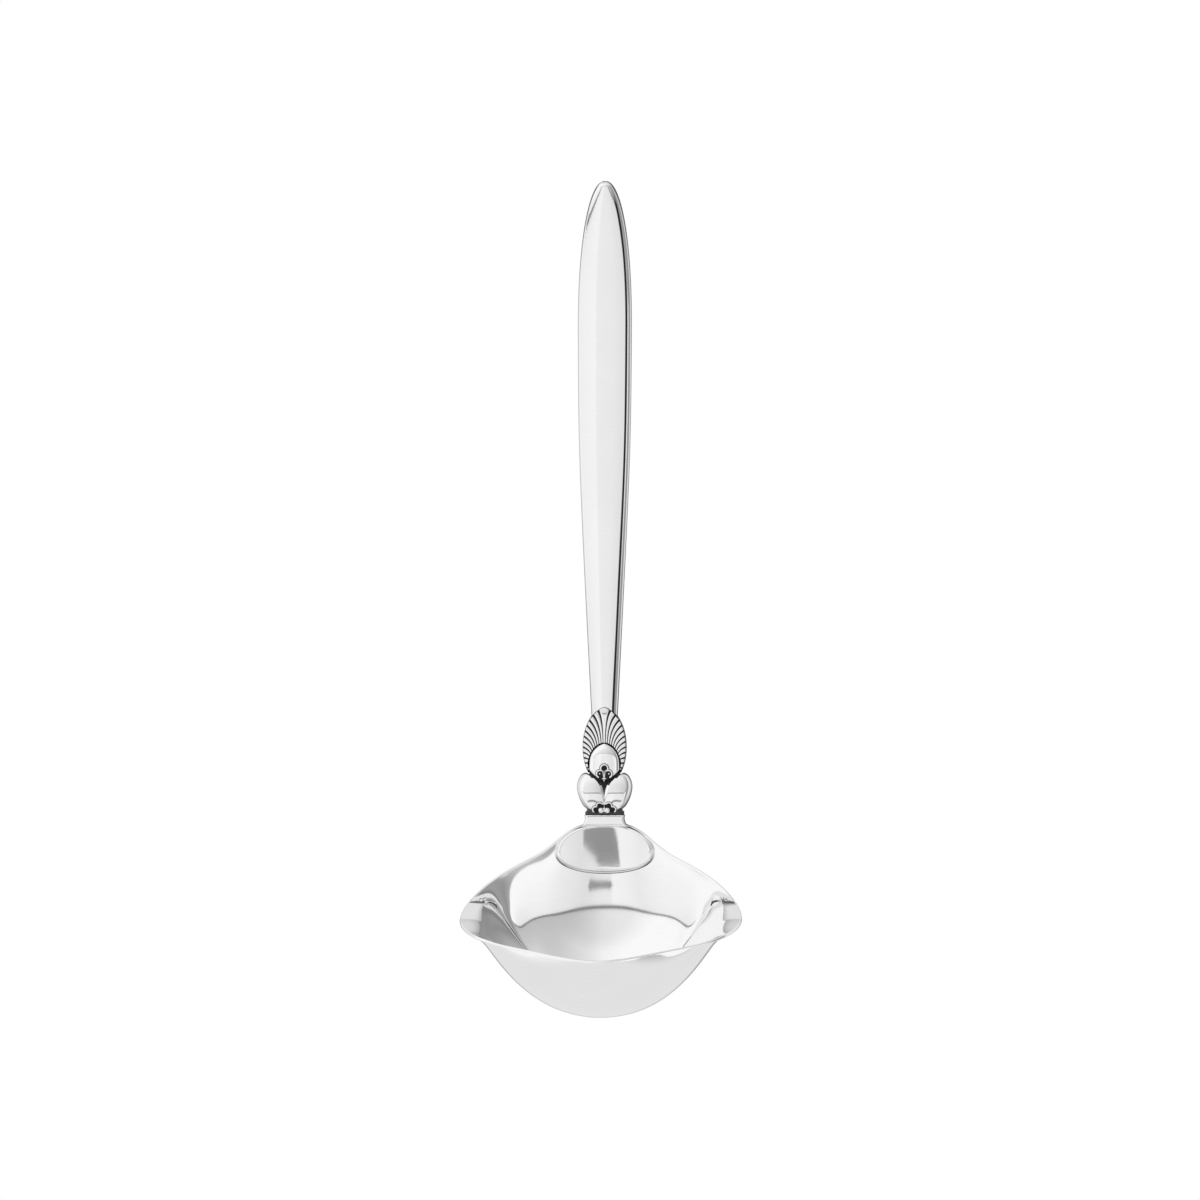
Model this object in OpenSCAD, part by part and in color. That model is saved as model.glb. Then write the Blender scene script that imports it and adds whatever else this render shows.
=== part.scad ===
// Silver sauce ladle with a double-lipped bowl, lying on its back.
// X runs from lip to lip, +Y runs along the handle towards its tip, +Z is up.
// The origin is on the surface it lies on, under the middle of its length.

/* [Overall] */
// Length from the belly of the bowl to the tip of the handle
overall_length = 200; // [185:1:220]
// Angle between the handle and the upright axis of the bowl
lean = 19; // [12:1:26]

/* [Bowl] */
// Reach of each lip from the middle of the bowl
lip_reach = 33.3; // [30:0.1:37]
// Reach of the front wall from the middle of the bowl
front_reach = 25; // [22:0.5:28]
// Depth of the bowl below its lips
bowl_depth = 22.5; // [19:0.5:26]
// Thickness of the silver sheet
sheet = 1.3; // [1:0.1:1.6]
// How far the front edge dips below the lips
front_dip = 1.5; // [0:0.1:3]
// Pull-in of the outline between the front and the lips
pinch = 0.27; // [0:0.01:0.3]
// Pull-in of the back edge on both sides of the handle
back_pinch = 0.2; // [0:0.01:0.3]
// Fullness of the wall low down behind the lips
fullness = 2.2; // [0:0.1:2.4]
// How far each lip rolls outwards
lip_flare = 4.5; // [2:0.1:5]
// How far the crest of the back wall opens outwards
back_flare = 1.6; // [0:0.1:2.5]
// Height of the wings that climb from the lips to the handle
wing_rise = 11.8; // [9:0.1:14]
// Extra height of the crest that carries the handle
crest_rise = 3.5; // [2:0.1:5]

/* [Tongue] */
// Half width of the solder tongue inside the back wall
tongue_half = 11.5; // [9:0.1:13]
// Length of the tongue below the collar
tongue_length = 12; // [9:0.1:14]
// Height of the middle of the tongue above the resting plane
tongue_top = 3.1; // [2.7:0.1:3.4]

/* [Handle] */
// Greatest half width of the stem
stem_half = 6.57; // [5.5:0.01:8]
// Greatest thickness of the stem
stem_thick = 3.6; // [3:0.1:4.5]
// Width of the bevel along each edge of the stem
bevel = 1.35; // [0.8:0.05:1.8]
// Height of the arch of the handle above a straight line
arch = 2; // [1.5:0.1:4]

/* [Ornament] */
// Half width of the fan leaf
fan_half = 5.27; // [4.8:0.01:6]
// Half thickness of the fan leaf along its middle
fan_thick = 2.7; // [2.5:0.1:3]
// Half width of each bud
bud_half = 4.15; // [3.8:0.05:4.5]
// Reach of the two cupping leaves from the middle
leaf_reach = 6.68; // [6:0.01:7.2]
// Half thickness of the two cupping leaves
leaf_thick = 3.3; // [3:0.1:3.5]
// Radius of the wire around the blossoms
wire = 0.24; // [0.2:0.01:0.3]
// Radius of each pearl
pearl = 0.72; // [0.5:0.01:0.8]
// Half width of the collar
collar_half = 5; // [4.6:0.1:5.5]

/* [Hidden] */

// steps round the bowl, up its wall and round its edge
ring_steps = 60;
wall_steps = 16;
edge_steps = 3;

// the belly reaches this far from the bowl's axis, towards -Y
belly = 22.88;
bowl_y = belly - overall_length / 2;
bowl_z = 23.91;

// places along the handle, measured from the bowl's axis
collar_v = 23.2;
collar_long = 2.2;
recess_long = 0.6;
leaf_v = collar_v + collar_long + recess_long;
leaf_long = 9.5;
bud_v = 33.4;
bud_long = 9.1;
fan_v = 35.4;
fan_long = 16.1;
tip_v = overall_length - belly;
// half thickness of the core and of the tang, and half width of the tang
core_thick = 2.3;
core_half = 4.6;
tang_half = 2;
tang_thick = 1.2;
// height of the handle's middle line at the collar and at the tip
root_z = 3.4;
tip_z = 0.9;

silver = [0.86, 0.86, 0.87];
dark = [0.22, 0.22, 0.23];

// ---------- helpers ----------

function smooth_min(a, b, k) = (a + b - sqrt((a - b) * (a - b) + k * k)) / 2;

// faces of a stack of closed rings, with a fan of triangles at both ends
function loft_faces(rings, n) = concat(
    [for (i = [0:rings - 2], j = [0:n - 1]) let (a = i * n + j, b = i * n + (j + 1) % n)
        each [[a, a + n, b + n], [a, b + n, b]]],
    [for (j = [1:n - 2]) [0, j, j + 1]],
    [for (j = [1:n - 2]) let (o = (rings - 1) * n) [o, o + j + 1, o + j]]
);

module loft(rings) {
    n = len(rings[0]);
    polyhedron([for (r = rings, p = r) p], loft_faces(len(rings), n), convexity = 6);
}

// booleans of lofted shapes are worked out as one mesh
module fitted() {
    resize([0, 0, 0]) union() children();
}

// ---------- bowl, in its own upright frame ----------

// front-to-back place of the plan outline: pinched beside the lips in front, and behind it
// pinched at the edge but full low down beside the lips
function plan_depth(phi, t) = let (s = sin(phi), c = cos(phi), waist = pow(sin(2 * phi) * c, 2))
    front_reach * c * (c < 0
        ? 1 - pinch * waist * t * t
        : 1 - back_pinch * waist * pow(t, 3) + fullness * (1 - t * t) * pow(abs(s), 7) * (1 - pow(1 - c, 4)));

// where the edge runs, seen square on to the handle, phi from the back
function crest_line(phi) = let (
    c = cos(phi),
    soft = max(0, (c + sqrt(c * c + 0.01)) / 2 - 0.05 * (1 - abs(c))),
    away = min(abs(phi), 360 - abs(phi))
) wing_rise * (0.37 * soft + 0.63 * soft * soft) + crest_rise * exp(-pow(away / 21.4, 4))
    + front_reach * c * (1 - pinch * pow(sin(2 * phi) * c, 2)) * sin(lean);

// outside of the sheet: phi from the back round to the lips, t from the bottom to the edge
function skin(phi, t) = let (
    s = sin(phi), c = cos(phi), lip = s * s,
    plan_x = lip_reach * s,
    plan_y = plan_depth(phi, t),
    reach = norm([plan_x, plan_y]),
    flare = lip_flare * pow(lip, 3),
    open = back_flare * pow(max(c, 0), 2),
    u = sin(90 * t),
    r = (reach - flare - open) * u + flare * pow(t, 11) + open * pow(t, 5),
    rise = (1 - lip) * (1 - cos(90 * t)) + lip * u * u * (1 + 0.11 * (u * u - 1)),
    up = (crest_line(phi) - plan_depth(phi, 1) * sin(lean)) * pow(t, 3)
) [
    plan_x / reach * r,
    plan_y / reach * r + up * sin(lean),
    -bowl_depth + (bowl_depth - front_dip * pow(min(c, 0), 2)) * rise + up * cos(lean)
];

function unit(v) = v / norm(v);
function along(phi, t) = unit(skin(phi, t) - skin(phi, t - 0.004));
function inward(phi, t) = unit(cross(skin(phi + 0.5, t) - skin(phi - 0.5, t), along(phi, t)));

module place_bowl() {
    translate([0, bowl_y, bowl_z]) rotate([lean - 90, 0, 0]) children();
}

module bowl_solid() {
    angles = [for (j = [0:ring_steps - 1]) 360 * j / ring_steps];
    up = [for (i = [1:wall_steps]) i / wall_steps];
    outer = [for (t = up) [for (a = angles) skin(a, t)]];
    edge = [for (k = [1:edge_steps]) [for (a = angles) let (turn = 180 * k / (edge_steps + 1),
        n = inward(a, 1)) skin(a, 1) + n * sheet / 2 * (1 - cos(turn))
        + along(a, 1) * sheet / 2 * sin(turn)]];
    inner = [for (i = [wall_steps:-1:1]) [for (a = angles) let (t = i / wall_steps)
        skin(a, t) + inward(a, t) * sheet]];
    rings = concat(outer, edge, inner);
    n = ring_steps;
    last = len(rings) * n;
    points = concat([for (r = rings, p = r) p], [[0, 0, -bowl_depth], [0, 0, sheet - bowl_depth]]);
    faces = concat(
        [for (i = [0:len(rings) - 2], j = [0:n - 1]) let (a = i * n + j, b = i * n + (j + 1) % n)
            each [[a, b, b + n], [a, b + n, a + n]]],
        [for (j = [0:n - 1]) [last, (j + 1) % n, j]],
        [for (j = [0:n - 1]) let (o = last - n) [last + 1, o + j, o + (j + 1) % n]]
    );
    place_bowl() polyhedron(points, faces, convexity = 8);
}

// ---------- handle ----------

// height of the middle line of the handle, v from the bowl's axis
function line_z(v) = let (s = (v - collar_v) / (tip_v - collar_v))
    root_z + (tip_z - root_z) * s + arch * sin(180 * s);

// half width of the stem, d from the tip
function stem_width(d) = let (
    nose = min(d / 35.9, 1),
    body = smooth_min(stem_half, stem_half * 1.484 - 0.0512 * d, 0.82)
) body * pow(max(1 - pow(1 - nose, 2.2), 0), 1 / 2.2);

// crowned section with a bevel along each edge, as [x, z] for a turn round it
function stem_section(w, h) = let (b = min(bevel, w * 0.35), face = w - b, crease = h * 0.74)
    concat(
        [for (i = [-5:5]) let (x = face * i / 5) [x, h - (h - crease) * pow(x / face, 2)]],
        [for (a = [60, 30, 0]) [face + b * cos(a), crease * sin(a) * 0.96]],
        [for (i = [5:-1:-5]) let (x = face * i / 5) [x, -h + (h - crease) * pow(x / face, 2)]],
        [for (a = [0, 30, 60]) [-face - b * cos(a), crease * sin(a) * 0.96]]
    );

module stem_solid() {
    // stations towards the tip, close together where the nose is round
    stations = [for (i = [34:-1:0]) let (k = i / 34) 0.06 + 131 * pow(k, 1.5)];
    rings = [for (d = stations) let (
        v = tip_v - d, w = stem_width(d),
        h = stem_thick / 2 * min(1, pow(w / stem_half, 0.45)) * (0.82 + 0.18 * min(1, d / 60))
    ) [for (p = stem_section(w, h)) [p.x, bowl_y + v, line_z(v) + p.y]]];
    loft(rings);
}

// straight frame of the ornament, along the middle line at the root of the handle
ornament_tilt = atan((line_z(fan_v + 6) - line_z(collar_v)) / (fan_v + 6 - collar_v));
module place_ornament() {
    translate([0, bowl_y + collar_v, root_z]) rotate([ornament_tilt, 0, 0])
        translate([0, -collar_v, 0]) children();
}

module tang_solid() {
    place_ornament() translate([-tang_half, leaf_v - recess_long, -tang_thick])
        cube([2 * tang_half, 22, 2 * tang_thick]);
}

// ---------- ornament pieces, in the ornament's straight frame ----------

// half width of the fan leaf, q from 0 at its tip to 1 at its foot
function fan_width(q) = q < 0.62
    ? fan_half * pow(1 - pow(1 - q / 0.62, 2.2), 0.65)
    : fan_half * sqrt(1 - pow((q - 0.62) / 0.56, 2));

// lens-shaped section of half width w and half height h
function lens(w, h, n) = concat(
    [for (i = [0:n - 1]) let (a = 180 - 180 * i / n) [w * cos(a), h * pow(sin(a), 0.8)]],
    [for (i = [0:n - 1]) let (a = -180 * i / n) [w * cos(a), -h * pow(-sin(a), 0.8)]]
);

module fan_solid() {
    place_ornament() loft([for (i = [18:-1:0]) let (q = 0.004 + 0.996 * pow(i / 18, 1.4),
        w = fan_width(q), y = fan_v + fan_long * (1 - q), h = fan_thick * pow(w / fan_half, 0.35))
        [for (p = lens(w, h, 12)) [p.x, y, p.y]]]);
}

// half width of a bud, q from 0 at its point to 1 at its foot
function bud_width(q) = bud_half * pow(sin(min(90, 140 * q)), 0.75) * (1 - 0.5 * pow(max(q - 0.6, 0), 2));

module bud_solid(side) {
    place_ornament() loft([for (i = [14:-1:0]) let (q = 0.005 + 0.995 * pow(i / 14, 1.4),
        w = bud_width(q), y = bud_v + bud_long * (1 - q), h = 3.7 * pow(w / bud_half, 0.4))
        [for (a = [0:15:345]) [w * cos(a) * -side, y, side * (a <= 180 ? h * sin(a) : 0.2 * sin(a))]]]);
}

// outline of the pair of leaves: outer and inner edge, q from 0 at the foot to 1 at the top
function leaf_outer(q) = leaf_reach * (0.62 + 0.38 * sin(180 * pow(q, 0.9) * 0.82 + 8)) *
    (q > 0.9 ? 1 - 2.6 * pow(q - 0.9, 1.3) : 1);
function leaf_inner(q) = q < 0.36 ? 0 : 4.9 * pow((q - 0.36) / 0.64, 1.9);

module leaf_solid(side) {
    place_ornament() loft([for (i = [0:16]) let (q = 0.002 + 0.996 * i / 16,
        a = leaf_inner(q), b = leaf_outer(q), y = leaf_v + leaf_long * q,
        soft = a > 0 ? 0.42 : 0.04,
        h = leaf_thick * (0.88 + 0.12 * sin(180 * q)) * (q > 0.8 ? 1 - 1.4 * pow(q - 0.8, 1.2) : 1))
        [for (k = [0:19]) let (turn = 360 * k / 20 * side, up = sin(turn), out = cos(turn))
            [side * (a + (b - a) * (1 - out) / 2), y,
             h * sign(up) * pow(abs(up), out > 0 ? soft : 0.62)]]]);
}

module core_solid() {
    place_ornament() translate([0, leaf_v - recess_long, 0]) rotate([-90, 0, 0])
        linear_extrude(fan_v - leaf_v + recess_long + 0.5)
            offset(1.2, $fn = 24) square([2 * core_half - 2.4, 2 * core_thick - 2.4], center = true);
}

// one wire ring of a blossom
module wire_ring(x, v, r, z) {
    place_ornament() translate([x, v, z]) rotate_extrude($fn = 24) translate([r, 0]) circle(wire, $fn = 10);
}

// ---------- nodes ----------

module bowl() {
    color(silver) bowl_solid();
}

// heights across the tongue: its dished top, and the middle of the sheet under it
function tongue_dish(x) = tongue_top + 2.3 * pow(x / tongue_half, 2);
function sheet_middle(x) = sheet / 2 + 0.03 + 0.0255 * x * x;

module tongue_solid() {
    // a shield with a round foot, dished across like the wall that it lies on
    foot = bowl_y + collar_v - tongue_length;
    low = 0.44 * tongue_length;
    high = 0.6 * tongue_length;
    across = [for (i = [-14:14]) i];
    intersection() {
        translate([0, foot + low, 0]) linear_extrude(12) polygon(concat(
            [for (a = [0:6:180]) [tongue_half * cos(a), high * sin(a)]],
            [for (a = [6:6:174]) [-tongue_half * cos(a), -low * pow(sin(a), 0.8)]]));
        translate([0, foot - 1, 0]) rotate([-90, 0, 0]) linear_extrude(tongue_length + 3)
            polygon(concat([for (x = across) [x, -tongue_dish(x)]],
                [for (x = across) [-x, -sheet_middle(x)]]));
    }
}

module collar_solid() {
    place_ornament() translate([0, collar_v, 0]) rotate([-90, 0, 0]) linear_extrude(collar_long)
        offset(1.1, $fn = 24) square([2 * collar_half - 2.2, 2 * 2.7 - 2.2], center = true);
}

module tongue() {
    color(silver) fitted() difference() {
        tongue_solid();
        bowl_solid();
        collar_solid();
    }
}

module collar() {
    color(silver) fitted() difference() {
        collar_solid();
        bowl_solid();
    }
}

module stem() {
    color(silver) fitted() union() {
        stem_solid();
        tang_solid();
    }
}

module core() {
    color(dark) fitted() difference() {
        core_solid();
        tang_solid();
    }
}

module fan() {
    color(silver) fitted() difference() {
        fan_solid();
        stem_solid();
        tang_solid();
        core_solid();
    }
}

module bud(side) {
    color(silver) fitted() difference() {
        bud_solid(side);
        fan_solid();
        core_solid();
        stem_solid();
    }
}

module bud_front() {
    bud(1);
}

module bud_back() {
    bud(-1);
}

module leaf_left() {
    color(silver) fitted() difference() {
        leaf_solid(-1);
        core_solid();
        bud_solid(1);
        bud_solid(-1);
        fan_solid();
    }
}

module leaf_right() {
    mirror([1, 0, 0]) leaf_left();
}

module upper_blossom() {
    // a trefoil of wire, half sunk into the foot of the front bud
    color(silver) fitted() difference() {
        union() {
            wire_ring(0, 37.2, 1.05, 3.7);
            for (side = [-1, 1]) wire_ring(side * 1.15, 35.6, 0.95, 3.6);
        }
        bud_solid(1);
        leaf_solid(1);
        leaf_solid(-1);
    }
}

module lower_blossom() {
    // four scallops of wire where the two leaves meet
    color(silver) fitted() difference() {
        for (side = [-1, 1]) {
            wire_ring(side * 1.2, 28, 0.98, 3.1);
            wire_ring(side * 2.15, 27.2, 0.8, 3);
        }
        leaf_solid(1);
        leaf_solid(-1);
        pearls_solid();
    }
}

module pearls_solid() {
    place_ornament() for (side = [-1, 1])
        translate([side * (pearl + 0.02), 26.75, leaf_thick - 0.3 + pearl]) sphere(pearl, $fn = 24);
}

module pearls() {
    color(silver) pearls_solid();
}

bowl();
tongue();
collar();
stem();
core();
fan();
bud_front();
bud_back();
leaf_left();
leaf_right();
upper_blossom();
lower_blossom();
pearls();
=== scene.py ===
"""A silver sauce ladle lying on its back on a pale table, seen from almost straight above.

Every piece is a fine mesh, worked out in millimetres, that takes the place of one CAD node. The
bowl's outside and the handle's plan follow the CAD's formulas. The ornament is drawn in more
detail than in the CAD, the rim is thinner, and the handle's tip is thicker.
"""
import math
import bmesh
import bpy
import numpy as np
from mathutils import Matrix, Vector


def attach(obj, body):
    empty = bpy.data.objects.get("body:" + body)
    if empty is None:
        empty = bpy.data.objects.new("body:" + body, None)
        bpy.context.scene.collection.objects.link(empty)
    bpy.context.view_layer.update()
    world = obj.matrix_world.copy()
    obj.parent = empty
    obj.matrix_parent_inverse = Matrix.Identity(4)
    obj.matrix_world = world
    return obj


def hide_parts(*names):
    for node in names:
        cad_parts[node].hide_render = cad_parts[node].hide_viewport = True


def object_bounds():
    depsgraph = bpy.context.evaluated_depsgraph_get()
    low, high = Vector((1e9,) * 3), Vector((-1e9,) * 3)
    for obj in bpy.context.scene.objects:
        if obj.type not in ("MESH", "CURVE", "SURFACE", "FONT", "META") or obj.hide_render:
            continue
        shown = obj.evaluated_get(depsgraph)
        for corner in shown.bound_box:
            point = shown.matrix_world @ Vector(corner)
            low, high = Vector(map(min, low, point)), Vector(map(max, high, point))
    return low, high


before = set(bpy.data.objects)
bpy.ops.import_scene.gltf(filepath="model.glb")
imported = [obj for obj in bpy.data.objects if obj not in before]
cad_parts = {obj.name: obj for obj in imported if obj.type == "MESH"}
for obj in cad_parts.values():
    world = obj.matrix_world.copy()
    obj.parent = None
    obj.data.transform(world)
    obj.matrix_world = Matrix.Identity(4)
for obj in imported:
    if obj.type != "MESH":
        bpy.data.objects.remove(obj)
cad_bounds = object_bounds()

MM = 0.001

# ---------- driving sizes, in millimetres ----------

LENGTH = (cad_bounds[1][1] - cad_bounds[0][1]) / MM
FULL_LENGTH = 200.0
LEAN = math.radians(19)
LIP_REACH, FRONT_REACH, BOWL_DEPTH = 33.3, 25.0, 22.5
SHEET, FRONT_DIP, PINCH, BACK_PINCH, FULLNESS = 1.3, 1.5, 0.27, 0.2, 2.2
LIP_FLARE, BACK_FLARE = 4.5, 1.6
WING_RISE, CREST_RISE, CREST_SPREAD = 11.8, 3.5, 21.4
BELLY = 22.88
BOWL_Y, BOWL_Z = BELLY - FULL_LENGTH / 2, 23.91
COLLAR_V = 23.2
BUD_V, BUD_LONG = 33.4, 9.1
FAN_V, FAN_LONG = 35.4, 16.1
TIP_V = FULL_LENGTH - BELLY
ROOT_Z, TIP_Z, ARCH = 3.4, 0.9, 2.0
STEM_HALF, STEM_THICK, STEM_LONG, BEVEL = 6.57, 3.6, 131, 1.35
NOSE_LONG, END_LONG, STRAIGHT_LONG = 35.9, 1.3, 28
FAN_HALF, FAN_RIBS = 5.27, 13.5
BUD_HALF, BUD_MIDDLE, BUD_OVAL = 3.75, 37.4, 5.1
LEAF_THICK = 3.3
PEARL = 0.72
TONGUE_HALF, TONGUE_LONG, TONGUE_TOP = 11.5, 12.0, 3.1


# ---------- mesh helpers ----------

def face_outwards(mesh):
    """Turns the faces of a closed mesh outwards, and of an open one the same way all over."""
    work = bmesh.new()
    work.from_mesh(mesh)
    bmesh.ops.recalc_face_normals(work, faces=work.faces)
    work.to_mesh(mesh)
    work.free()


def make_mesh(name, points, faces, materials, shade_and_tarnish=None):
    """A smooth-shaded object from points in millimetres, with an optional per-point darkening value,
    mostly painted shade.
    """
    mesh = bpy.data.meshes.new(name)
    mesh.from_pydata((np.asarray(points) * MM).tolist(), [], [list(f) for f in faces])
    if shade_and_tarnish is not None:
        layer = mesh.attributes.new("shade_and_tarnish", "FLOAT", "POINT")
        layer.data.foreach_set("value", np.asarray(shade_and_tarnish, dtype=float).ravel())
    for material in materials:
        mesh.materials.append(material)
    mesh.validate()
    face_outwards(mesh)
    mesh.polygons.foreach_set("use_smooth", [True] * len(mesh.polygons))
    piece = bpy.data.objects.new(name, mesh)
    bpy.context.scene.collection.objects.link(piece)
    return piece


def grid_faces(rows, cols, wrap=True, start=0):
    """Quads over a grid of points, rows by cols, closed round the columns if wrap."""
    out = []
    for i in range(rows - 1):
        for j in range(cols if wrap else cols - 1):
            a, b = start + i * cols + j, start + i * cols + (j + 1) % cols
            out.append((a, b, b + cols, a + cols))
    return out


def loft(name, rings, materials, shade_and_tarnish=None):
    """A closed solid through rings of points, each end closed by a fan round its middle."""
    rings = np.asarray(rings)
    rows, cols = rings.shape[:2]
    points = np.vstack([rings.reshape(-1, 3), rings[0].mean(axis=0), rings[-1].mean(axis=0)])
    faces = grid_faces(rows, cols)
    low, high = rows * cols, rows * cols + 1
    last = (rows - 1) * cols
    faces += [(low, (j + 1) % cols, j) for j in range(cols)]
    faces += [(high, last + j, last + (j + 1) % cols) for j in range(cols)]
    if shade_and_tarnish is not None:
        shade_and_tarnish = np.concatenate([np.asarray(shade_and_tarnish).ravel(), [shade_and_tarnish[0][0], shade_and_tarnish[-1][0]]])
    return make_mesh(name, points, faces, materials, shade_and_tarnish)


def smooth_step(low, high, value):
    """0 at low and 1 at high, smooth between. It falls instead if low is the greater."""
    x = np.clip((np.asarray(value, dtype=float) - low) / (high - low), 0, 1)
    return x * x * (3 - 2 * x)


def smooth_min(a, b, k):
    """The smaller of two values, rounded over about k where they meet."""
    return (a + b - np.sqrt((a - b) ** 2 + k * k)) / 2


def unit(v):
    return v / np.linalg.norm(v, axis=-1, keepdims=True)


# ---------- bowl ----------

def plan_depth(phi, t):
    """Front-to-back place of the plan outline, phi from the back: pinched beside the lips in
    front, and behind it pinched at the edge but full low down beside the lips."""
    s, c = np.sin(phi), np.cos(phi)
    waist = (np.sin(2 * phi) * c) ** 2
    front = 1 - PINCH * waist * t * t
    behind = np.clip(c, 0, 1)
    full = FULLNESS * (1 - t * t) * np.abs(s) ** 7 * (1 - (1 - behind) ** 4)
    back = 1 - BACK_PINCH * waist * t ** 3 + full
    return FRONT_REACH * c * np.where(c > 0, back, front)


def crest_line(phi):
    """Where the edge runs, seen square on to the handle, phi from the back, in radians."""
    c = np.cos(phi)
    soft = np.maximum(0, (c + np.sqrt(c * c + 0.01)) / 2 - 0.05 * (1 - np.abs(c)))
    away = np.abs((np.degrees(phi) + 180) % 360 - 180)
    crest = CREST_RISE * np.exp(-(away / CREST_SPREAD) ** 4)
    wings = WING_RISE * (0.37 * soft + 0.63 * soft ** 2) + crest
    return wings + FRONT_REACH * c * (1 - PINCH * (np.sin(2 * phi) * c) ** 2) * math.sin(LEAN)


def skin(phi, t):
    """Outside of the sheet in the bowl's upright frame, t from the bottom to the edge."""
    s, c = np.sin(phi), np.cos(phi)
    lip = s * s
    plan_x = LIP_REACH * s
    plan_y = plan_depth(phi, t)
    reach = np.hypot(plan_x, plan_y)
    flare = LIP_FLARE * lip ** 3
    wide = BACK_FLARE * np.clip(c, 0, 1) ** 2
    u = np.sin(np.pi / 2 * t)
    r = (reach - flare - wide) * u + flare * t ** 11 + wide * t ** 5
    rise = (1 - lip) * (1 - np.cos(np.pi / 2 * t)) + lip * u * u * (1 + 0.11 * (u * u - 1))
    up = (crest_line(phi) - plan_depth(phi, 1.0) * math.sin(LEAN)) * t ** 3
    return np.stack([
        plan_x / reach * r,
        plan_y / reach * r + up * math.sin(LEAN),
        -BOWL_DEPTH + (BOWL_DEPTH - FRONT_DIP * np.minimum(c, 0) ** 2) * rise + up * math.cos(LEAN),
    ], axis=-1)


def along(phi, t):
    return unit(skin(phi, t) - skin(phi, t - 0.002))


def inward(phi, t):
    return unit(np.cross(skin(phi + 0.004, t) - skin(phi - 0.004, t), along(phi, t)))


def lay_down(points):
    """From the bowl's upright frame to the frame of the ladle lying on its back."""
    x, y, z = np.moveaxis(points, -1, 0)
    s, c = math.sin(LEAN), math.cos(LEAN)
    return np.stack([x, z * c + y * s + BOWL_Y, z * s - y * c + BOWL_Z], axis=-1)


def wall_thickness(t):
    """The sheet is drawn out thinner towards its edge."""
    return SHEET - 0.5 * smooth_step(0.8, 1.0, t)


def make_bowl(silver):
    around, edge = 320, 12
    phi = np.linspace(0, 2 * np.pi, around, endpoint=False)
    t_up = np.linspace(0, 1, 96)[1:]
    outer = skin(phi[None, :], t_up[:, None])
    turn = np.pi * (np.arange(1, edge) / edge)[:, None, None]
    n_edge, t_edge = inward(phi, 1.0), along(phi, 1.0)
    half = wall_thickness(1.0) / 2
    rim = outer[-1] + n_edge * half * (1 - np.cos(turn)) + t_edge * half * np.sin(turn)
    t_down = (1 - np.linspace(0, 1, 161) ** 1.3)[:-1]
    thick = wall_thickness(t_down)[:, None, None]
    inner = skin(phi[None, :], t_down[:, None]) + inward(phi[None, :], t_down[:, None]) * thick
    rings = lay_down(np.concatenate([outer, rim, inner]))
    rows = len(rings)
    poles = lay_down(np.array([[0, 0, -BOWL_DEPTH], [0, 0, SHEET - BOWL_DEPTH]]))
    points = np.vstack([rings.reshape(-1, 3), poles])
    faces = grid_faces(rows, around)
    low, high, last = rows * around, rows * around + 1, (rows - 1) * around
    faces += [(low, (j + 1) % around, j) for j in range(around)]
    faces += [(high, last + j, last + (j + 1) % around) for j in range(around)]
    return make_mesh("ladle_bowl", points, faces, [silver])


# ---------- tongue ----------

def tongue_dish(x):
    return TONGUE_TOP + 2.3 * (x / TONGUE_HALF) ** 2


def sheet_middle(x):
    return SHEET / 2 + 0.03 + 0.0255 * x * x


def make_tongue(silver):
    """The D-shaped plate inside the back wall, with a rounded edge."""
    foot = BOWL_Y + COLLAR_V - TONGUE_LONG
    low, high = 0.44 * TONGUE_LONG, 0.6 * TONGUE_LONG
    a = np.linspace(0, 2 * np.pi, 240, endpoint=False)
    s = np.sin(a)
    out_x = TONGUE_HALF * np.cos(a)
    out_y = np.where(s > 0, high * s, -low * np.abs(s) ** 0.8)
    size = np.hypot(out_x, out_y)
    edge = 1.1 + 0.6 * np.clip(-s, 0, 1)
    rings, dark = [], []
    for f in np.linspace(0.02, 1, 22):
        dark.append(0 * a)
        k = f * (1 - edge / size)
        x, y = out_x * k, out_y * k
        rings.append(np.stack([x, foot + low + y, tongue_dish(x)], axis=-1))
    for d in np.linspace(0, 1, 16)[1:]:
        # painted shadow along the lower half of the tongue's rounded edge
        dark.append(float(smooth_step(0.75, 0.92, d)) * np.clip(-2 * s, 0, 1))
        k = 1 - edge / size * (1 - d)
        x, y = out_x * k, out_y * k
        z = tongue_dish(x)
        fall = 1 - (1 - d ** 2.4) ** (1 / 2.0)
        rings.append(np.stack([x, foot + low + y, z - (z - sheet_middle(x)) * fall], axis=-1))
    for f in (0.6, 0.1):
        dark.append(0 * a)
        x, y = out_x * f, out_y * f
        rings.append(np.stack([x, foot + low + y, sheet_middle(x)], axis=-1))
    return loft("solder_tongue", rings, [silver], dark)


# ---------- handle ----------

def line_z(v):
    s = (v - COLLAR_V) / (TIP_V - COLLAR_V)
    return ROOT_Z + (TIP_Z - ROOT_Z) * s + ARCH * np.sin(np.pi * s)


TILT = math.atan((line_z(FAN_V + 6) - line_z(COLLAR_V)) / (FAN_V + 6 - COLLAR_V))


def place_ornament(points):
    """From the ornament's straight frame, y measured from the bowl's axis, to the lying frame."""
    x, y, z = np.moveaxis(np.asarray(points, dtype=float), -1, 0)
    y = y - COLLAR_V
    s, c = math.sin(TILT), math.cos(TILT)
    return np.stack([x, BOWL_Y + COLLAR_V + y * c - z * s, ROOT_Z + y * s + z * c], axis=-1)


def stem_width(d):
    """Half width of the handle, d from its tip."""
    nose = np.minimum(d / NOSE_LONG, 1)
    body = smooth_min(STEM_HALF, STEM_HALF * 1.484 - 0.0512 * d, 0.82)
    return body * np.maximum(1 - (1 - nose) ** 2.2, 0) ** (1 / 2.2)


def bevel_side(inner, outer, height):
    """Points of one bevel from the silhouette to the crease, as (distance from the middle, z)."""
    u = np.sin(np.linspace(0, np.pi / 2, 18))[::-1]
    z = height * (1 - 0.6 * u - 0.4 * u ** 3) ** 0.55
    return np.stack([inner + (outer - inner) * u, z], axis=-1)


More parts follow.
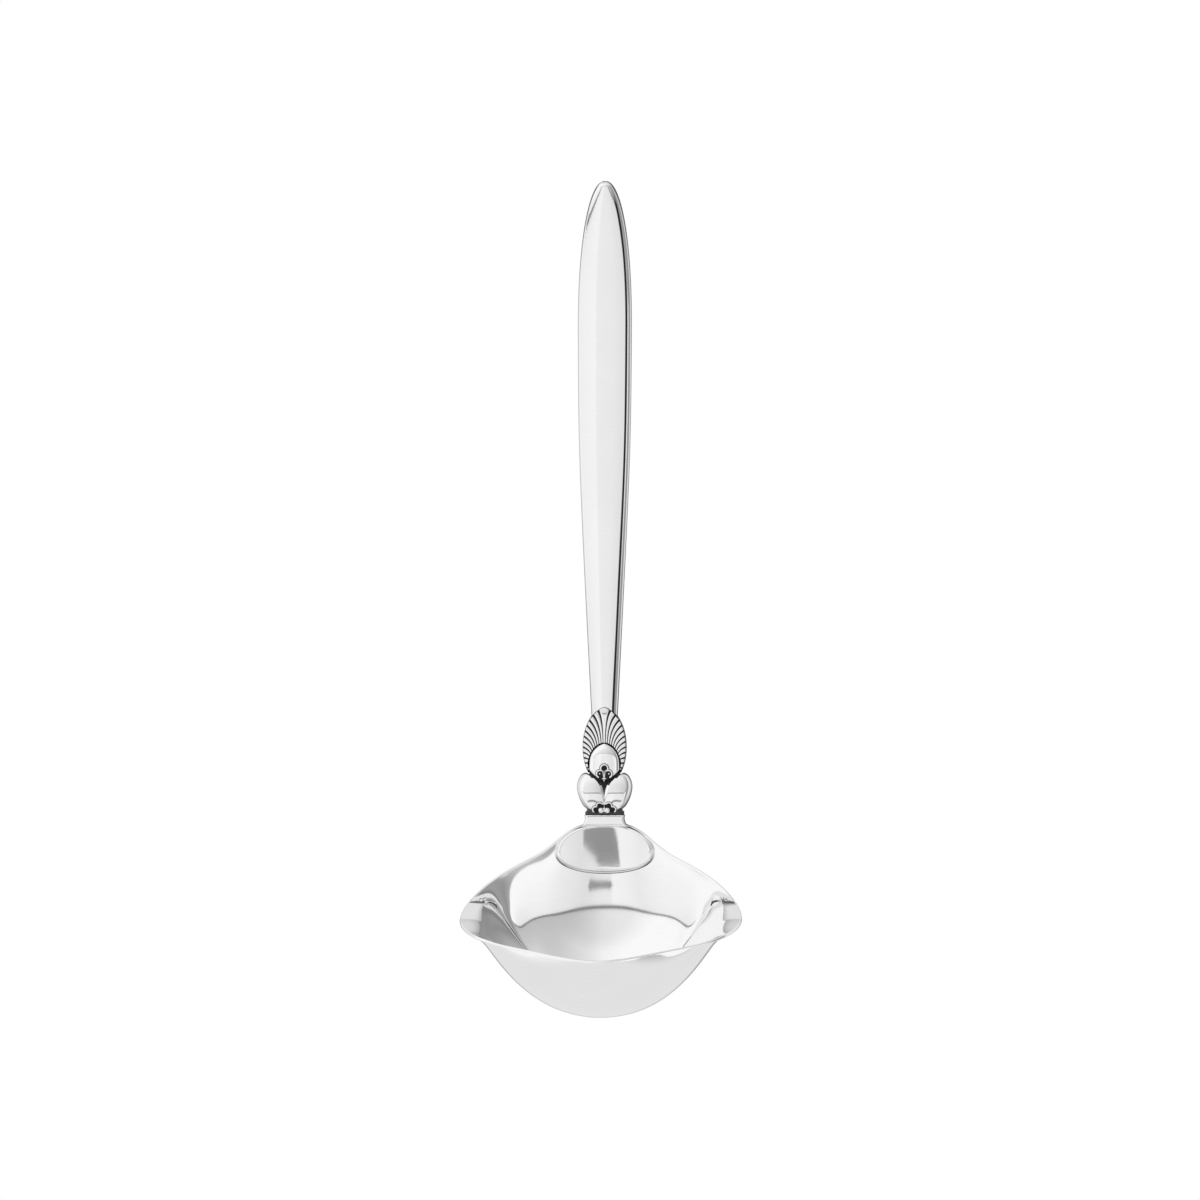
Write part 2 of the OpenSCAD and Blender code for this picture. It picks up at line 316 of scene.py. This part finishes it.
def stem_half_section(w, h, steps=44):
    """Upper half of a section from +w to -w: a crowned face, a wide bevel and a narrow one."""
    b = float(smooth_min(BEVEL, 0.62 * w, 0.6))
    face, far_face = w - b, w - 0.4 * b
    fall = 0.26 * h * w / STEM_HALF
    middle, half = (face - far_face) / 2, (face + far_face) / 2
    x = middle + half * np.cos(np.linspace(0, np.pi, steps))
    top = np.stack([x, h - fall * (x / face) ** 2], axis=-1)
    right = bevel_side(face, w, top[0, 1])
    left = bevel_side(far_face, w, top[-1, 1])[::-1] * [-1, 1]
    return np.vstack([right[:-1], top, left[1:]]), face


def make_stem(silver):
    """The tapered handle, its face kept straight near the tip, with a painted dark line in its +X
    crease.
    """
    rings, dark = [], []
    for k in np.linspace(1, 0, 190):
        d = 0.04 + STEM_LONG * k ** 1.8
        v, w = TIP_V - d, float(stem_width(d))
        deep = STEM_THICK / 2 * min(1, (w / STEM_HALF) ** 0.45) * (0.82 + 0.18 * min(1, d / 60))
        end = math.sqrt(1 - (1 - min(d / END_LONG, 1)) ** 2)
        crown = (STEM_THICK / 2 + 0.0005 * max(0, STRAIGHT_LONG - d) ** 2) * max(end, 0.1)
        half, face = stem_half_section(w, crown)
        under = half[-2:0:-1] * [1, -deep / crown]
        x, z = np.vstack([half, under]).T
        # painted shade: a dark line along the +X crease only, standing in for the dark reflection seen
        # on that side
        line = smooth_step(0.3, 0.24, np.abs(half[:, 0] - face - 0.08)) * smooth_step(1.5, 6, d)
        dark.append(np.concatenate([line, np.zeros(len(under))]))
        rings.append(np.stack([x, np.full(len(x), BOWL_Y + v), line_z(v) + z], axis=-1))
    return loft("handle_stem", rings, [silver], dark)


# ---------- ornament ----------

def fan_width(q):
    q = np.asarray(q, dtype=float)
    up = FAN_HALF * np.maximum(1 - np.maximum(1 - q / 0.62, 0) ** 2.2, 0) ** 0.65
    down = FAN_HALF * np.sqrt(np.maximum(1 - (np.maximum(q - 0.62, 0) / 0.56) ** 2, 0))
    return np.where(q < 0.62, up, down)


def bud_width(q):
    """Half width of a bud: an oval with its tip at q = 0."""
    v = BUD_V + BUD_LONG * (1 - np.asarray(q, dtype=float))
    above = np.clip((v - BUD_MIDDLE) / BUD_OVAL, 0, 1)
    below = np.clip((BUD_MIDDLE - v) / 9.0, 0, 1)
    foot = 3.6 * np.sqrt(np.clip((v - 33.7) / 2.5, 0.0001, 1))
    oval = BUD_HALF * np.maximum(1 - above ** 2, 0) ** 0.54 * np.sqrt(1 - below ** 2)
    return smooth_min(oval, foot + 0.12, 0.2)


def fan_height(x, v):
    """Height of the fan leaf's face above its middle plane, before the ribs."""
    q = np.clip((FAN_V + FAN_LONG - v) / FAN_LONG, 0.001, 1)
    w = np.maximum(fan_width(q), 0.05)
    crown = np.maximum(1 - (x / w) ** 2, 0)
    return 1.75 + 0.45 * (w / FAN_HALF) ** 0.6 + 0.45 * crown * (w / FAN_HALF)


def fan_side(side):
    """Points and darkening of one ribbed face of the fan leaf, ribs counted from the middle: dark
    grooves, and painted shade round the bud, along the arch and below the leaves.
    """
    rib = np.linspace(-FAN_RIBS, FAN_RIBS, 2 * 13 * 20 + 1)
    spans = ((0, 0.1, 9), (0.1, 0.92, 34), (0.92, 1, 15))
    k = np.concatenate([[0.0]] + [np.linspace(*span)[1:] for span in spans])[:, None]
    m, sign = np.abs(rib), np.sign(rib)
    out_q = np.clip(0.0815 * m * m / (m + 0.62), 0.0002, 0.995)
    out_x, out_y = fan_width(out_q), FAN_V + FAN_LONG * (1 - out_q)
    turn = np.radians(8.3 * m * m / (m + 0.9))
    in_x, in_y = (BUD_HALF - 0.03) * np.sin(turn), BUD_MIDDLE + (BUD_OVAL - 0.05) * np.cos(turn)
    middle = np.exp(-np.maximum(m - 1, 0) / 1.5)
    mid_x = in_x + 0.16 * (1 - middle) * (out_x - in_x)
    mid_y = in_y + (0.62 + 0.18 * middle) * (out_y - in_y)
    x = (1 - k) ** 2 * in_x + 2 * k * (1 - k) * mid_x + k * k * out_x
    y = (1 - k) ** 2 * in_y + 2 * k * (1 - k) * mid_y + k * k * out_y
    inside = np.hypot(x - in_x, y - in_y)
    outside = np.hypot(x - out_x, y - out_y)
    near = np.where(m < 0.5, 1, np.abs((m + 0.5) % 1 - 0.5))
    groove = np.exp(-(near / (0.19 + 0.04 * k)) ** 2)
    z = fan_height(x, y) - (0.16 + 0.14 * k) * groove
    z -= 1.1 * np.maximum(1 - inside / 0.34, 0) ** 1.5
    z *= np.maximum(1 - np.maximum(1 - outside / 0.42, 0) ** 2.2, 0) ** (1 / 2.2)
    # dark grooves, then painted shade where the ribs meet the bud
    dark = smooth_step(0.42, 0.62, groove) * smooth_step(0.0, 0.06, outside)
    dark = np.maximum(dark, 1 - smooth_step(0.24, 0.36, inside))
    # painted shade: a dark arch where the fan meets the stem, a shade darker on +X
    arch_shade = (1 - smooth_step(0.3, 0.42, outside)) * smooth_step(48.4, 48.8, y)
    dark = np.maximum(dark, arch_shade * (0.9 + 0.1 * sign))
    # painted shade below the leaves
    dark = np.maximum(dark, 1 - smooth_step(36.2, 36.6, y))
    return np.stack([x * sign, y, z * side], axis=-1), dark


def make_fan(silver):
    points, faces, shade_and_tarnish = [], [], []
    for side in (1, -1):
        p, dark = fan_side(side)
        start = sum(len(block) for block in points)
        quads = grid_faces(*p.shape[:2], wrap=False, start=start)
        faces += quads if side > 0 else [f[::-1] for f in quads]
        points.append(p.reshape(-1, 3))
        shade_and_tarnish.append(dark.ravel())
    return make_mesh("fan_leaf", place_ornament(np.vstack(points)), faces, [silver],
                     np.concatenate(shade_and_tarnish))


def bud_points(side):
    q = np.concatenate([[0.0008], np.linspace(0.004, 1, 110) ** 1.25])[:, None]
    u = np.linspace(-1, 1, 121)
    w = bud_width(q)
    x = w * np.sin(u * np.pi / 2)
    y = BUD_V + BUD_LONG * (1 - q) + 0 * x
    rise = np.clip(q * BUD_LONG / 3.0, 0, 1)
    ridge = 2.75 + 0.9 * (1 - (1 - rise) ** 2.2)
    z = 1.8 + (ridge - 1.8) * np.cos(u * np.pi / 2) ** 0.62
    return np.stack([x, y, z * side], axis=-1)


# the blossoms' outlines, as circles (x, v, radius) whose outside makes the scallops
UPPER_LOBES = [(0.05, 36.65, 0.86), (-0.95, 35.3, 0.86), (1.0, 35.3, 0.86)]
LOWER_LOBES = [(-1.08, 27.65, 0.74), (1.08, 27.65, 0.74), (-2.08, 26.8, 0.68), (2.08, 26.8, 0.68)]
WIRE = 0.2


def lobe_field(x, v, lobes):
    """Signed distance to the union of the lobes, negative inside."""
    best = np.full(np.shape(x), 1e9)
    for cx, cv, r in lobes:
        best = np.minimum(best, np.hypot(x - cx, v - cv) - r)
    return best


def make_bud(name, side, silver):
    p = bud_points(side)
    rows, cols = p.shape[:2]
    faces = grid_faces(rows, cols, wrap=False)
    if side < 0:
        faces = [f[::-1] for f in faces]
    # painted shade on the bud's foot, outside a widening base where the leaves cover it
    base = 3.45 * np.sqrt(np.clip((p[..., 1] - 34.1) / 2.2, 0, 1))
    dark = smooth_step(0, 0.2, np.abs(p[..., 0]) - base) * (p[..., 1] < 36.3)
    if side > 0:
        # painted shade round and inside the upper blossom's wire
        field = lobe_field(p[..., 0], p[..., 1], UPPER_LOBES)
        dark = np.maximum(dark, 1 - smooth_step(WIRE + 0.08, WIRE + 0.2, field))
    return make_mesh(name, place_ornament(p.reshape(-1, 3)), faces, [silver], dark)


def smooth_path(knots, steps):
    """A smooth curve through the knots, this many steps between each two of them."""
    knots = np.asarray(knots, dtype=float)
    padded = np.vstack([2 * knots[0] - knots[1], knots, 2 * knots[-1] - knots[-2]])
    t = np.linspace(0, 1, steps, endpoint=False)[:, None]
    out = []
    for p0, p1, p2, p3 in zip(padded, padded[1:], padded[2:], padded[3:]):
        square = 2 * p0 - 5 * p1 + 4 * p2 - p3
        cube = 3 * (p1 - p2) + p3 - p0
        out.append(p1 + t / 2 * (p2 - p0 + t * (square + t * cube)))
    return np.vstack(out + [knots[-1:]])


# the two sides of a cupping leaf as (x, v), from its foot to its tip
LEAF_INNER = [(0, 26.0), (0, 27.4), (0, 29.3), (0.22, 31.0), (0.53, 32.2), (1.03, 33.2),
              (1.73, 34.0), (2.7, 34.6), (3.7, 35.05), (4.42, 35.5)]
LEAF_OUTER = [(3.0, 26.0), (4.9, 27.4), (6.0, 29.3), (6.5, 31.0), (6.64, 32.3), (6.45, 33.45),
              (6.1, 34.3), (5.65, 34.95), (5.15, 35.35), (4.52, 35.55)]


def make_leaf(name, side, silver):
    steps = 14
    inner, outer = smooth_path(LEAF_INNER, steps), smooth_path(LEAF_OUTER, steps)
    place = np.arange(len(inner)) / steps
    across = 0.5 - 0.5 * np.cos(np.linspace(0, np.pi, 90))
    line = inner[:, None] + (outer - inner)[:, None] * across[None, :, None]
    width = np.linalg.norm(outer - inner, axis=-1)[:, None]
    from_in, from_out = across * width, (1 - across) * width
    x, v = line[..., 0], line[..., 1]
    z = LEAF_THICK - 0.039 * (v - 29.0) ** 2 - 0.045 * (x - 3.0) ** 2 * smooth_step(26.5, 30, v)
    notch = smooth_step(2.0, 3.2, place)[:, None]
    z -= 0.23 * notch * np.maximum(1 - from_in / 0.55, 0) ** 1.1
    z *= np.sqrt(np.maximum(1 - np.maximum(1 - from_out / 1.7, 0) ** 2.2, 0))
    foot = np.clip((v - 25.99) / 0.45, 0, 1)
    z *= 0.75 + 0.25 * np.maximum(1 - (1 - foot) ** 2.2, 0) ** (1 / 2.2)
    # painted shade round and inside the lower blossom's scalloped wire
    dark = 1 - smooth_step(WIRE + 0.06, WIRE + 0.18, lobe_field(x, v, LOWER_LOBES))
    front = np.stack([x * side, v, z], axis=-1)
    back = np.stack([x * side, v, -z], axis=-1)[:, -2:0:-1]
    rings = np.concatenate([front, back], axis=1)
    dark = np.concatenate([dark, 0 * dark[:, -2:0:-1]], axis=1)
    if side < 0:
        rings, dark = rings[:, ::-1], dark[:, ::-1]
    return loft(name, place_ornament(rings), [silver], dark)


def rounded_box(half_x, half_z, corner, steps=10):
    """A closed section with rounded corners."""
    out = []
    for sx, sz, start in ((1, 1, 0), (-1, 1, 90), (-1, -1, 180), (1, -1, 270)):
        for k in range(steps + 1):
            a = math.radians(start + 90 * k / steps)
            out.append((sx * (half_x - corner) + corner * math.cos(a),
                        sz * (half_z - corner) + corner * math.sin(a)))
    return np.asarray(out)


def make_collar(silver):
    rings = []
    rows = [(22.7, 5.5, 2.2), (22.95, 5.35, 2.45), (23.2, 5.12, 2.6), (23.6, 4.88, 2.68),
            (24.3, 4.66, 2.7), (24.9, 4.68, 2.72), (25.25, 4.78, 2.74), (25.37, 4.76, 2.72),
            (25.4, 4.68, 2.64), (25.4, 4.4, 2.4)]
    for v, half_x, half_z in rows:
        section = rounded_box(half_x, half_z, 0.7)
        rings.append(np.stack([section[:, 0], np.full(len(section), v), section[:, 1]], axis=-1))
    return loft("collar_block", place_ornament(np.asarray(rings)[::-1]), [silver])


# the recess core is dark all over: painted shade in the recess between the leaves, bud and collar
def make_core(dark):
    rings = []
    for v, half_x, half_z in ((25.38, 4.6, 2.5), (26.2, 4.6, 2.5), (26.5, 4.2, 2.3), (36.4, 3.6, 2.2)):
        section = rounded_box(half_x, half_z, 0.8)
        rings.append(np.stack([section[:, 0], np.full(len(section), v), section[:, 1]], axis=-1))
    return loft("recess_core", place_ornament(np.asarray(rings)[::-1]), [dark])


def sweep(path, radius, closed=False, sides=14):
    """Rings of a round wire along a path of points."""
    path = np.asarray(path, dtype=float)
    ahead = np.roll(path, -1, axis=0) if closed else np.vstack([path[1:], path[-1:]])
    behind = np.roll(path, 1, axis=0) if closed else np.vstack([path[:1], path[:-1]])
    direction = unit(ahead - behind)
    across = unit(np.cross(direction, [0, 0, 1]))
    over = np.cross(across, direction)
    a = np.linspace(0, 2 * np.pi, sides, endpoint=False)[:, None, None]
    rings = path + radius * (np.cos(a) * across + np.sin(a) * over)
    return np.moveaxis(rings, 0, 1)


def arc(lobe, start, end, z, steps=26):
    cx, cv, r = lobe
    a = np.radians(np.linspace(start, end, steps))
    return np.stack([cx + r * np.cos(a), cv + r * np.sin(a), np.full(steps, z)], axis=-1)


def join_rings(name, parts, materials):
    """Several swept wires in one mesh, each closed at its ends."""
    points, faces, count = [], [], 0
    for rings in parts:
        rows, cols = rings.shape[:2]
        points.append(rings.reshape(-1, 3))
        faces += grid_faces(rows, cols, start=count)
        last = count + (rows - 1) * cols
        faces.append(tuple(count + j for j in reversed(range(cols))))
        faces.append(tuple(last + j for j in range(cols)))
        count += rows * cols
    return make_mesh(name, place_ornament(np.vstack(points)), faces, materials)


def make_upper_blossom(silver):
    top, left, right = UPPER_LOBES
    z = 3.62
    path = np.vstack([arc(left, 250, 55, z), arc(top, 232, -52, z), arc(right, 125, -70, z)])
    stamens = [np.array([[x, 36.1, 3.7], [x * 0.7, 35.2, 3.66], [0, 34.2, 3.5]]) for x in (-0.26, 0.26)]
    beads = [ball(x, 35.35, 3.72, 0.2) for x in (-1.05, 1.15)]
    wires = [sweep(path, WIRE)] + [sweep(stamen, 0.12) for stamen in stamens]
    return join_rings("upper_blossom_wire", wires + beads, [silver])


def make_lower_blossom(silver):
    inner_l, inner_r, outer_l, outer_r = LOWER_LOBES
    z = 3.16
    path = np.vstack([arc(outer_l, 240, 80, z), arc(inner_l, 195, 40, z), arc(inner_r, 140, -15, z),
                      arc(outer_r, 100, -60, z)])
    return join_rings("lower_blossom_wire", [sweep(path, WIRE)], [silver])


def ball(cx, cv, cz, r, rows=24, cols=36):
    lat = np.linspace(-np.pi / 2 + 0.02, np.pi / 2 - 0.02, rows)[:, None]
    lon = np.linspace(0, 2 * np.pi, cols, endpoint=False)[None, :]
    return np.stack([cx + r * np.cos(lat) * np.cos(lon), cv + r * np.cos(lat) * np.sin(lon),
                     cz + r * np.sin(lat) + 0 * lon], axis=-1)


def make_pearls(silver):
    parts = [ball(s * (PEARL + 0.02), 26.6, LEAF_THICK - 0.3 + PEARL, PEARL - 0.06) for s in (-1, 1)]
    return join_rings("pearl_pair", parts, [silver])


# ---------- materials ----------

def new_material(name):
    material = bpy.data.materials.new(name)
    material.use_nodes = True
    nodes = material.node_tree.nodes
    nodes.clear()
    return material, nodes, material.node_tree.links


def ramp_node(nodes, stops):
    """A colour ramp through these (position, level) stops."""
    node = nodes.new("ShaderNodeValToRGB")
    elements = node.color_ramp.elements
    elements.remove(elements[1])
    for index, (spot, level) in enumerate(stops):
        element = elements[0] if index == 0 else elements.new(spot)
        element.position = spot
        element.color = (level, level, level, 1)
    return node


def smooth_range(nodes, links, source, low, high):
    """0 below low, 1 above high, smooth between."""
    node = nodes.new("ShaderNodeMapRange")
    node.interpolation_type = "SMOOTHSTEP"
    node.inputs["From Min"].default_value = low
    node.inputs["From Max"].default_value = high
    links.new(source, node.inputs["Value"])
    return node.outputs["Result"]


def blend(nodes, links, factor, low, high):
    """Mix of two levels, each a number or a socket."""
    node = nodes.new("ShaderNodeMix")
    node.data_type = "FLOAT"
    links.new(factor, node.inputs["Factor"])
    for socket, value in ((node.inputs[2], low), (node.inputs[3], high)):
        if isinstance(value, float):
            socket.default_value = value
        else:
            links.new(value, socket)
    return node.outputs[0]


def levels(nodes, links, source, low, high, start=0.0, end=1.0):
    """The source's range from start to end, stretched to low to high."""
    node = nodes.new("ShaderNodeMapRange")
    node.inputs["From Min"].default_value = start
    node.inputs["From Max"].default_value = end
    node.inputs["To Min"].default_value = low
    node.inputs["To Max"].default_value = high
    links.new(source, node.inputs["Value"])
    return node.outputs["Result"]


def combine(nodes, links, operation, first, second):
    """A math node on two levels, the second a number or a socket."""
    node = nodes.new("ShaderNodeMath")
    node.operation = operation
    links.new(first, node.inputs[0])
    if isinstance(second, float):
        node.inputs[1].default_value = second
    else:
        links.new(second, node.inputs[1])
    return node.outputs["Value"]


def noise(nodes, links, place, scale, detail):
    """A noise texture's level at this place."""
    node = nodes.new("ShaderNodeTexNoise")
    node.inputs["Scale"].default_value = scale
    node.inputs["Detail"].default_value = detail
    links.new(place, node.inputs["Vector"])
    return node.outputs["Fac"]


def glowing(nodes, links):
    """An emission shader joined to the material's surface."""
    out = nodes.new("ShaderNodeOutputMaterial")
    glow = nodes.new("ShaderNodeEmission")
    links.new(glow.outputs["Emission"], out.inputs["Surface"])
    return glow


def metal(nodes, links, metallic):
    """A Principled shader joined to the material's surface."""
    out = nodes.new("ShaderNodeOutputMaterial")
    shader = nodes.new("ShaderNodeBsdfPrincipled")
    shader.inputs["Metallic"].default_value = metallic
    links.new(shader.outputs["BSDF"], out.inputs["Surface"])
    return shader


def silver_colour(nodes, links, place, cloud, shade_and_tarnish):
    """Nearly even silver with cloudy hair scratches, black where the per-point darkening is high:
    mostly painted shade on creases, edges and recesses, and the dark fan grooves.
    """
    turn = nodes.new("ShaderNodeMapping")
    turn.inputs["Rotation"].default_value = (0.2, 0.1, math.radians(38))
    turn.inputs["Scale"].default_value = (1.0, 9.0, 1.0)
    links.new(place, turn.inputs["Vector"])
    hair = noise(nodes, links, turn.outputs["Vector"], 350.0, 3.0)
    worn = combine(nodes, links, "MULTIPLY", cloud, hair)
    tone = levels(nodes, links, worn, 0.925, 0.955, 0.1, 0.4)
    colour = nodes.new("ShaderNodeMix")
    colour.data_type = "RGBA"
    links.new(shade_and_tarnish, colour.inputs["Factor"])
    links.new(tone, colour.inputs[6])
    # the black of the painted shade
    colour.inputs[7].default_value = (0.03, 0.03, 0.031, 1)
    return colour.outputs[2]


def make_silver():
    """Polished silver: faint mottling, cloudy gloss, hair scratches, and painted shade blackening
    creases, edges and recesses.
    """
    material, nodes, links = new_material("polished_silver")
    shader = metal(nodes, links, 1.0)
    place = nodes.new("ShaderNodeTexCoord").outputs["Object"]
    cloud = noise(nodes, links, place, 90.0, 4.0)
    mottle = noise(nodes, links, place, 600.0, 2.0)
    attribute = nodes.new("ShaderNodeAttribute")
    attribute.attribute_name = "shade_and_tarnish"
    shade_and_tarnish = attribute.outputs["Fac"]
    links.new(silver_colour(nodes, links, place, cloud, shade_and_tarnish), shader.inputs["Base Color"])
    gloss = levels(nodes, links, cloud, 0.05, 0.09)
    links.new(blend(nodes, links, shade_and_tarnish, gloss, 0.45), shader.inputs["Roughness"])
    bump = nodes.new("ShaderNodeBump")
    bump.inputs["Strength"].default_value = 0.2
    bump.inputs["Distance"].default_value = 0.00001
    links.new(mottle, bump.inputs["Height"])
    links.new(bump.outputs["Normal"], shader.inputs["Normal"])
    return material


def make_dark():
    """Dark silver for the recess core: painted shade between the leaves, bud and collar."""
    material, nodes, links = new_material("oxidised_silver")
    shader = metal(nodes, links, 0.6)
    shader.inputs["Roughness"].default_value = 0.45
    place = nodes.new("ShaderNodeTexCoord").outputs["Object"]
    grain = noise(nodes, links, place, 900.0, 2.0)
    links.new(levels(nodes, links, grain, 0.02, 0.12), shader.inputs["Base Color"])
    return material


# ---------- build ----------

silver = make_silver()
dark = make_dark()
PIECES = [
    (make_bowl(silver), "bowl"),
    (make_tongue(silver), "tongue"),
    (make_collar(silver), "collar"),
    (make_stem(silver), "stem"),
    (make_core(dark), "core"),
    (make_fan(silver), "fan"),
    (make_bud("bud_front_dome", 1, silver), "bud_front"),
    (make_bud("bud_back_dome", -1, silver), "bud_back"),
    (make_leaf("left_leaf", -1, silver), "leaf_left"),
    (make_leaf("right_leaf", 1, silver), "leaf_right"),
    (make_upper_blossom(silver), "upper_blossom"),
    (make_lower_blossom(silver), "lower_blossom"),
    (make_pearls(silver), "pearls"),
]
for piece, node in PIECES:
    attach(piece, "root")
    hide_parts(node)

# ---------- floor, light and camera ----------

# the overhead light hangs this high, and its sides are measured in this height
PANEL_HEIGHT = 4.0
PANEL_LEFT, PANEL_RIGHT = -1.62, 1.30
PANEL_NEAR, PANEL_FAR = -0.7, 0.19
FRAME = 0.028


def emitter(name, strength):
    """A plain glowing material."""
    material, nodes, links = new_material(name)
    glowing(nodes, links).inputs["Strength"].default_value = strength
    return material


def panel_light():
    """Cloth of the overhead light: bright at both sides, a little duller over the middle."""
    material, nodes, links = new_material("panel_cloth")
    split = nodes.new("ShaderNodeSeparateXYZ")
    links.new(nodes.new("ShaderNodeTexCoord").outputs["Object"], split.inputs["Vector"])
    stops = [(-1.62, 1.0), (-1.1, 0.94), (-0.75, 0.86), (-0.5, 0.92), (-0.21, 0.96), (-0.17, 0.88),
             (0.1, 0.86), (0.38, 0.77), (0.46, 0.8), (0.8, 0.88), (1.0, 0.99), (1.3, 1.02)]
    across = levels(nodes, links, split.outputs["X"], 0.0, 1.0,
                    PANEL_LEFT * PANEL_HEIGHT, PANEL_RIGHT * PANEL_HEIGHT)
    span = PANEL_RIGHT - PANEL_LEFT
    ramp = ramp_node(nodes, [((x - PANEL_LEFT) / span, level) for x, level in stops])
    links.new(across, ramp.inputs["Fac"])
    links.new(ramp.outputs["Color"], glowing(nodes, links).inputs["Color"])
    return material


def card(name, outline, height, material, camera_sees=False):
    """A flat staged card with this outline, in metres, at this height."""
    mesh = bpy.data.meshes.new(name)
    mesh.from_pydata([(x, y, height) for x, y in outline], [], [tuple(range(len(outline)))])
    mesh.materials.append(material)
    piece = bpy.data.objects.new(name, mesh)
    bpy.context.scene.collection.objects.link(piece)
    piece.visible_camera = camera_sees
    return piece


def rectangle(left, right, near, far):
    return [(left, near), (right, near), (right, far), (left, far)]


def shade_under(nodes, links, place):
    """0 in the shade right under the ladle, rising to 1 on the open table."""
    split = nodes.new("ShaderNodeSeparateXYZ")
    links.new(place, split.inputs["Vector"])
    around = nodes.new("ShaderNodeMapping")
    around.inputs["Location"].default_value = (0.0, 0.078 / 0.024, 0.0)
    around.inputs["Scale"].default_value = (1 / 0.05, 1 / 0.024, 0.0)
    links.new(place, around.inputs["Vector"])
    reach = nodes.new("ShaderNodeVectorMath")
    reach.operation = "LENGTH"
    links.new(around.outputs["Vector"], reach.inputs[0])
    bowl = smooth_range(nodes, links, reach.outputs["Value"], 0.5, 1.4)
    handle = smooth_range(nodes, links, split.outputs["X"], 0.006, 0.018)
    for axis, low, high in (("X", -0.006, -0.012), ("Y", 0.1, 0.105), ("Y", -0.06, -0.075)):
        past = smooth_range(nodes, links, split.outputs[axis], low, high)
        handle = combine(nodes, links, "MAXIMUM", handle, past)
    return combine(nodes, links, "MINIMUM", bowl, handle)


def make_floor():
    """Pale table that the camera sees as plain white, and the silver as shaded under the ladle."""
    material, nodes, links = new_material("pale_floor")
    place = nodes.new("ShaderNodeTexCoord").outputs["Object"]
    camera = nodes.new("ShaderNodeLightPath").outputs["Is Camera Ray"]
    mirrored = levels(nodes, links, shade_under(nodes, links, place), 0.12, 0.8)
    level = blend(nodes, links, camera, mirrored, 1.0)
    links.new(level, glowing(nodes, links).inputs["Strength"])
    card("floor", rectangle(-8, 8, -8, 8), -0.0002, material, camera_sees=True)


def make_lights():
    h = PANEL_HEIGHT
    border = rectangle(PANEL_LEFT * h, PANEL_RIGHT * h, PANEL_NEAR * h, (PANEL_FAR + FRAME) * h)
    panel = rectangle(PANEL_LEFT * h, PANEL_RIGHT * h, PANEL_NEAR * h, PANEL_FAR * h)
    card("panel_frame", border, h + 0.02, emitter("frame_dark", 0.1))
    card("panel", panel, h, panel_light())
    # a grey card close over the bowl, for the dark patch in the tongue
    gear = [(-0.045, -0.0655), (0.004, -0.0655), (0.022, -0.0625), (0.044, -0.06), (0.0455, -0.0575),
            (0.04, -0.0535), (-0.024, -0.0535), (-0.038, -0.0587)]
    card("gear", gear, 0.16, emitter("gear_grey", 0.28))


def make_world():
    """A pale room, even on the near side and darker towards +X beyond, with a low dark band."""
    world = bpy.data.worlds.new("studio")
    world.use_nodes = True
    nodes, links = world.node_tree.nodes, world.node_tree.links
    place = nodes.new("ShaderNodeTexCoord")
    split = nodes.new("ShaderNodeSeparateXYZ")
    links.new(place.outputs["Generated"], split.inputs["Vector"])
    across = levels(nodes, links, split.outputs["X"], 0.0, 1.0, -1.0, 1.0)
    ramp = ramp_node(nodes, [(0.0, 1.0), (0.35, 1.0), (0.5, 0.93), (0.6, 0.8), (0.7, 0.68), (0.8, 0.56),
                             (0.88, 0.45), (0.94, 0.3), (1.0, 0.36)])
    links.new(across, ramp.inputs["Fac"])
    dull = combine(nodes, links, "MULTIPLY", ramp.outputs["Color"], 0.84)
    high = smooth_range(nodes, links, split.outputs["Z"], 0.72, 0.9)
    room = blend(nodes, links, high, ramp.outputs["Color"], dull)
    far = smooth_range(nodes, links, split.outputs["Y"], -0.6, -0.1)
    sky = blend(nodes, links, far, 0.8, room)
    low = smooth_range(nodes, links, split.outputs["Z"], 0.17, 0.08)
    for axis, start, end in (("Y", -0.75, -0.35), ("X", 0.55, 0.9)):
        side = smooth_range(nodes, links, split.outputs[axis], start, end)
        low = combine(nodes, links, "MULTIPLY", low, side)
    level = blend(nodes, links, low, sky, 0.25)
    links.new(level, nodes["Background"].inputs["Color"])
    bpy.context.scene.world = world


def make_camera():
    """Overhead, leaning a touch towards +X, far enough away for almost no perspective."""
    data = bpy.data.cameras.new("camera")
    data.sensor_width = 36
    data.lens = 36 * CAMERA_DISTANCE / FRAME_WIDTH
    data.clip_end = 20
    camera = bpy.data.objects.new("camera", data)
    away = Vector((math.sin(CAMERA_TILT), 0, math.cos(CAMERA_TILT)))
    camera.location = Vector(CAMERA_AIM) + away * CAMERA_DISTANCE
    camera.rotation_euler = (0, CAMERA_TILT, 0)
    bpy.context.scene.collection.objects.link(camera)
    bpy.context.scene.camera = camera


# the ladle is 0.696 of the frame's width long, and the aim is a little off its middle
FRAME_WIDTH = LENGTH * MM / 0.696
CAMERA_DISTANCE = 8.0
CAMERA_TILT = math.radians(2.6)
CAMERA_AIM = (-0.0013, -0.0003, 0.0)
make_floor()
make_lights()
make_world()
make_camera()
bpy.context.scene.view_settings.view_transform = "Standard"
